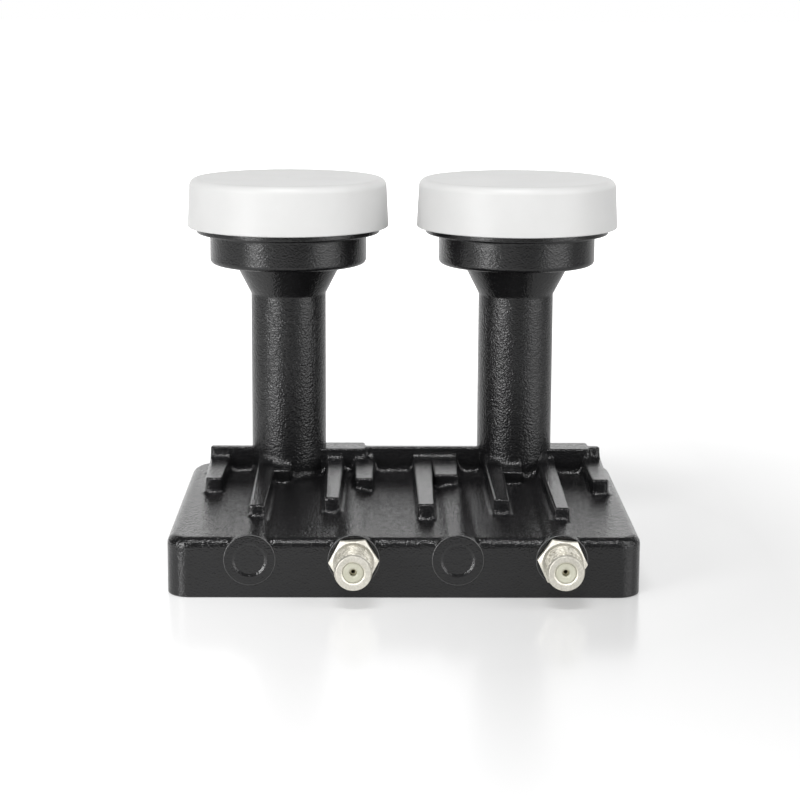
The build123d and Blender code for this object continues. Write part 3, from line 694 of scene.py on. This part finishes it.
# Board components: moulded chip packages, pressed crystal cans and ceramic blocks, all soldered
# under the board and out of sight.
package = bpy.data.materials.new("moulded_package")
place = start_finish(package)
filler = place.noise(3000, 2.0)
end_finish(place, {
    "Base Color": filler.ramp(0.4, 0.7).blend((0.018, 0.018, 0.019, 1), (0.035, 0.035, 0.036, 1)),
    "Roughness": 0.5 + 0.2 * filler,
})
dress(package, "converter_chips", "input_transistors", "switch_chip", "regulator")
ceramic = bpy.data.materials.new("fired_ceramic")
place = start_finish(ceramic)
fired = place.noise(1200, 2.0)
end_finish(place, {
    "Base Color": fired.ramp(0.3, 0.7).blend((0.45, 0.33, 0.21, 1), (0.58, 0.45, 0.31, 1)),
    "Roughness": 0.3 + 0.2 * fired,
})
dress(ceramic, "filter_capacitors")

# Screws: zinc-plated steel. Six hold the shield, out of sight, and six countersunk ones with a cross
# recess hold the back plate, flush with it.
zinc = bpy.data.materials.new("zinc_plate")
place = start_finish(zinc)
spangle = place.noise(700, 3.0)
end_finish(place, {
    "Base Color": spangle.ramp(0.3, 0.7).blend((0.50, 0.50, 0.51, 1), (0.64, 0.64, 0.63, 1)),
    "Metallic": 1.0,
    "Roughness": 0.28 + 0.18 * spangle,
})
dress(zinc, "shield_screws", "crystals")

head_z, head_radius, shank_radius, screw_inset = 0.4, 2.3, 1.25, 4.6
recess_arm, recess_slot = 1.35, 0.25
screw_section = eased((
    (0, head_z, 0), (head_radius, head_z, 0.12), (shank_radius, 1.6, 0.1), (shank_radius, 8.2, 0),
    (0, 8.4, 0)), closed=False, steps=3, hold=0.03)
screw = solid("back_screw", [turned(screw_section, None, 48, closed=False)])
quarter = ((recess_arm, recess_slot), (recess_slot, recess_slot), (recess_slot, recess_arm))
cross_plan = [*quarter, *[(-u, v) for u, v in reversed(quarter)], *[(-u, -v) for u, v in quarter],
              *[(u, -v) for u, v in reversed(quarter)]]
cross = solid("cross_recess", [loft([
    [(u * s, v * s, h) for u, v in cross_plan] for h, s in ((0.2, 1.0), (head_z, 1.0), (1.3, 0.55))])])
cut = screw.modifiers.new("recess", "BOOLEAN")
cut.object = cross
cut.operation = "DIFFERENCE"
cut.solver = "EXACT"
screw_mesh = bpy.data.meshes.new_from_object(screw.evaluated_get(bpy.context.evaluated_depsgraph_get()))
bpy.data.objects.remove(cross)
bpy.data.objects.remove(screw)
screw = bpy.data.objects.new("back_screw", screw_mesh)
bpy.context.scene.collection.objects.link(screw)

screw_tree = bpy.data.node_groups.new("back_screws", "GeometryNodeTree")
for name, kind in (("Places", "NodeSocketGeometry"), ("Screw", "NodeSocketObject"), ("Seed", "NodeSocketInt"),
                   ("Metal", "NodeSocketMaterial")):
    screw_tree.interface.new_socket(name, in_out="INPUT", socket_type=kind)
screw_tree.interface.new_socket("Screws", in_out="OUTPUT", socket_type="NodeSocketGeometry")
given = step_in(screw_tree, "NodeGroupInput")
one = step_in(screw_tree, "GeometryNodeObjectInfo", inputs={"Object": given["Screw"]})
spin = step_in(screw_tree, "FunctionNodeRandomValue", {"data_type": "FLOAT_VECTOR"}, {
    0: (0.0, 0.0, 0.0), 1: (0.0, 0.0, 1.5), "Seed": given["Seed"]})
driven = step_in(screw_tree, "GeometryNodeInstanceOnPoints", inputs={
    "Points": given["Places"], "Instance": one["Geometry"], "Rotation": spin[0]})
real = step_in(screw_tree, "GeometryNodeRealizeInstances", inputs={"Geometry": driven[0]})
zinced = step_in(screw_tree, "GeometryNodeSetMaterial", inputs={"Geometry": real[0], "Material": given["Metal"]})
step_in(screw_tree, "NodeGroupOutput", inputs={0: zinced[0]})

front_in = front_corner - (front_corner - screw_inset) / sqrt(2)
back_in = back_corner - (back_corner - screw_inset) / sqrt(2)
screw_places = bpy.data.meshes.new("screw_places")
screw_places.from_pydata([(x * mm, y * mm, 0) for x, y in (
    (front_in - half_width, front_y + front_in), (half_width - front_in, front_y + front_in),
    ((port_x[1] + port_x[2]) / 2, front_y + screw_inset), (back_in - half_width, back_y - back_in),
    (half_width - back_in, back_y - back_in), (0, back_y - screw_inset))], [], [])
screws_mesh = plain_mesh("back_screws", screw_places, screw_tree, {"Screw": screw, "Seed": 4, "Metal": zinc})
bpy.data.objects.remove(screw)
screws_mesh.shade_smooth()
screws_mesh.set_sharp_from_angle(angle=radians(30))
back_screws = bpy.data.objects.new("back_screws", screws_mesh)
bpy.context.scene.collection.objects.link(back_screws)
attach(back_screws, "root")
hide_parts("cover_screws")

# Studio: a pale polished floor, glowing with painted light near the object, under a white surround, with a broad
# softbox at each side of the camera and one high in front. The surround is dimmer behind the camera, so the black
# coat keeps its depth.
floor_white = bpy.data.materials.new("pale_floor")
place = start_finish(floor_white)
speck = place.noise(3.0, 2.0)
far = place.node("ShaderNodeVectorMath", {"operation": "LENGTH"}, {0: place}, "Value").ramp(0.10, 0.55)
straight = place.node("ShaderNodeLightPath", output="Is Camera Ray")
# Near the object the floor glows with painted light, brighter on the left and dimmer on the right; far off it
# glows plain white to the camera only
painted_floor_light = place.part(0).ramp(-0.09, 0.10).blend((0.50, 0.50, 0.50, 1), (0.12, 0.12, 0.12, 1))
end_finish(place, {
    "Base Color": speck.blend((0.50, 0.50, 0.50, 1), (0.52, 0.52, 0.52, 1)),
    "Roughness": 0.18 + 0.04 * speck,
    "Specular IOR Level": 0.3,
    "Emission Color": (far * straight).blend(painted_floor_light, (1, 1, 1, 1)),
    "Emission Strength": 1.0,
})
floor_mesh = bpy.data.meshes.new("studio_floor")
floor_half, floor_gap = 8, 0.00005
floor_mesh.from_pydata([(x * floor_half, y * floor_half, 0) for x, y in ((-1, -1), (1, -1), (1, 1), (-1, 1))],
                       [], [(0, 1, 2, 3)])
floor = bpy.data.objects.new("studio_floor", floor_mesh)
floor.location.z = -floor_gap
bpy.context.scene.collection.objects.link(floor)
floor_mesh.materials.append(floor_white)

surround = bpy.data.worlds.new("white_surround")
bpy.context.scene.world = surround
surround.use_nodes = True
surround.node_tree.nodes.clear()
start = Sock(surround.node_tree)
way = start.node("ShaderNodeTexCoord", output="Generated")
glow = 0.10 + 1.4 * way.part(1).ramp(0.45, 0.95) * (1.0 - way.part(2).ramp(0.3, 0.6))
seen = start.node("ShaderNodeLightPath", output="Is Camera Ray")
fill = start.node("ShaderNodeLightPath", output="Is Diffuse Ray") * 0.25
lit = start.node("ShaderNodeBackground", {}, {"Color": (1, 1, 1, 1), "Strength": glow + fill})
white = start.node("ShaderNodeBackground", {}, {"Color": (1, 1, 1, 1), "Strength": 1.0})
mixed = start.node("ShaderNodeMixShader", {}, {0: seen, 1: lit, 2: white})
start.node("ShaderNodeOutputWorld", {}, {"Surface": mixed})

aim = Vector((0, 0, 0.045))
for name, azimuth, elevation, distance, width, height, power in (
        ("softbox_left", -48, 14, 1.2, 0.42, 0.55, 8.8), ("softbox_right", 60, 22, 1.2, 0.85, 1.15, 9.5),
        ("softbox_front", -12, 62, 1.2, 0.5, 0.16, 7.0)):
    lamp = bpy.data.lights.new(name, "AREA")
    lamp.shape = "RECTANGLE"
    lamp.size, lamp.size_y, lamp.energy = width, height, power
    box = bpy.data.objects.new(name, lamp)
    a, e = radians(azimuth), radians(elevation)
    away = Vector((sin(a) * cos(e), -cos(a) * cos(e), sin(e)))
    box.location = aim + away * distance
    box.rotation_euler = away.to_track_quat("Z", "Y").to_euler()
    bpy.context.scene.collection.objects.link(box)

eye = bpy.data.cameras.new("photo_camera")
eye.lens, eye.sensor_width = 90.3, 36.0
eye.shift_x, eye.shift_y = -0.0024, -0.0765
eye.clip_start, eye.clip_end = 0.01, 50
camera = bpy.data.objects.new("photo_camera", eye)
camera.location = (-0.0063, -0.5316, 0.15224)
camera.rotation_euler = (radians(80), radians(-0.275), radians(-0.593))
bpy.context.scene.collection.objects.link(camera)
bpy.context.scene.camera = camera
bpy.context.scene.view_settings.view_transform = "Standard"
